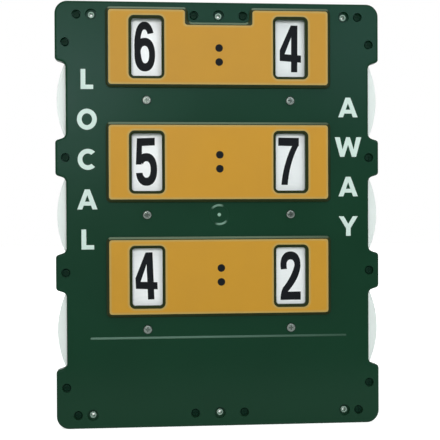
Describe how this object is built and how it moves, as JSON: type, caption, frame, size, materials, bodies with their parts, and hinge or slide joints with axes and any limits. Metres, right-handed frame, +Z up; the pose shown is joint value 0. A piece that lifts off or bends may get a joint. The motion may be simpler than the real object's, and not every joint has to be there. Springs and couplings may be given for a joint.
{
  "type": "tennis scoreboard",
  "caption": "Flat court-side scoreboard with raised yellow score bars, windows and numbered discs that turn by thumb notches at the sides.",
  "frame": {"origin": "middle of the flat back face", "axes": "+Z up along the board's height, +X to the right seen from the front, +Y out of the back, so the front faces -Y"},
  "size_m": [0.4668, 0.0241, 0.61],
  "materials": {
    "green_plastic": "satin moulded, dark green",
    "yellow_label": "satin printed film, yellow",
    "white_plastic": "satin sheet, white",
    "nylon": "natural",
    "bright_steel": "bright zinc plated",
    "black_steel": "black oxide"
  },
  "bodies": {
    "board": {"back_shell": "green_plastic", "corner_shell_screws": "black_steel", "friction_washers_bottom_left": "nylon", "friction_washers_bottom_right": "nylon", "friction_washers_middle_left": "nylon", "friction_washers_middle_right": "nylon", "friction_washers_top_left": "nylon", "friction_washers_top_right": "nylon", "front_shell": "green_plastic", "hang_eyelets": "bright_steel", "middle_shell_screws": "black_steel", "pivot_barrels": "bright_steel", "pivot_screws": "bright_steel", "score_label_bottom": "yellow_label", "score_label_middle": "yellow_label", "score_label_top": "yellow_label", "side_shell_screws": "black_steel", "spacer_ring_bottom_left_1": "nylon", "spacer_ring_bottom_left_2": "nylon", "spacer_ring_bottom_left_3": "nylon", "spacer_ring_bottom_right_1": "nylon", "spacer_ring_bottom_right_2": "nylon", "spacer_ring_bottom_right_3": "nylon", "spacer_ring_middle_left_1": "nylon", "spacer_ring_middle_left_2": "nylon", "spacer_ring_middle_left_3": "nylon", "spacer_ring_middle_right_1": "nylon", "spacer_ring_middle_right_2": "nylon", "spacer_ring_middle_right_3": "nylon", "spacer_ring_top_left_1": "nylon", "spacer_ring_top_left_2": "nylon", "spacer_ring_top_left_3": "nylon", "spacer_ring_top_right_1": "nylon", "spacer_ring_top_right_2": "nylon", "spacer_ring_top_right_3": "nylon"},
    "disc_top_left": {"number_disc_top_left": "white_plastic"},
    "disc_top_right": {"number_disc_top_right": "white_plastic"},
    "disc_middle_left": {"number_disc_middle_left": "white_plastic"},
    "disc_middle_right": {"number_disc_middle_right": "white_plastic"},
    "disc_bottom_left": {"number_disc_bottom_left": "white_plastic"},
    "disc_bottom_right": {"number_disc_bottom_right": "white_plastic"}
  },
  "joints": [
    {"name": "disc_spin_top_left", "type": "hinge", "parent": "board", "child": "disc_top_left", "pos_m": [-0.10344, -0.0072, 0.164], "axis": [0, 1, 0], "continuous": true},
    {"name": "disc_spin_top_right", "type": "hinge", "parent": "board", "child": "disc_top_right", "pos_m": [0.10344, -0.009, 0.164], "axis": [0, 1, 0], "continuous": true},
    {"name": "disc_spin_middle_left", "type": "hinge", "parent": "board", "child": "disc_middle_left", "pos_m": [-0.10344, -0.009, 0], "axis": [0, 1, 0], "continuous": true},
    {"name": "disc_spin_middle_right", "type": "hinge", "parent": "board", "child": "disc_middle_right", "pos_m": [0.10344, -0.0108, 0], "axis": [0, 1, 0], "continuous": true},
    {"name": "disc_spin_bottom_left", "type": "hinge", "parent": "board", "child": "disc_bottom_left", "pos_m": [-0.10344, -0.0108, -0.164], "axis": [0, 1, 0], "continuous": true},
    {"name": "disc_spin_bottom_right", "type": "hinge", "parent": "board", "child": "disc_bottom_right", "pos_m": [0.10344, -0.0126, -0.164], "axis": [0, 1, 0], "continuous": true}
  ]
}
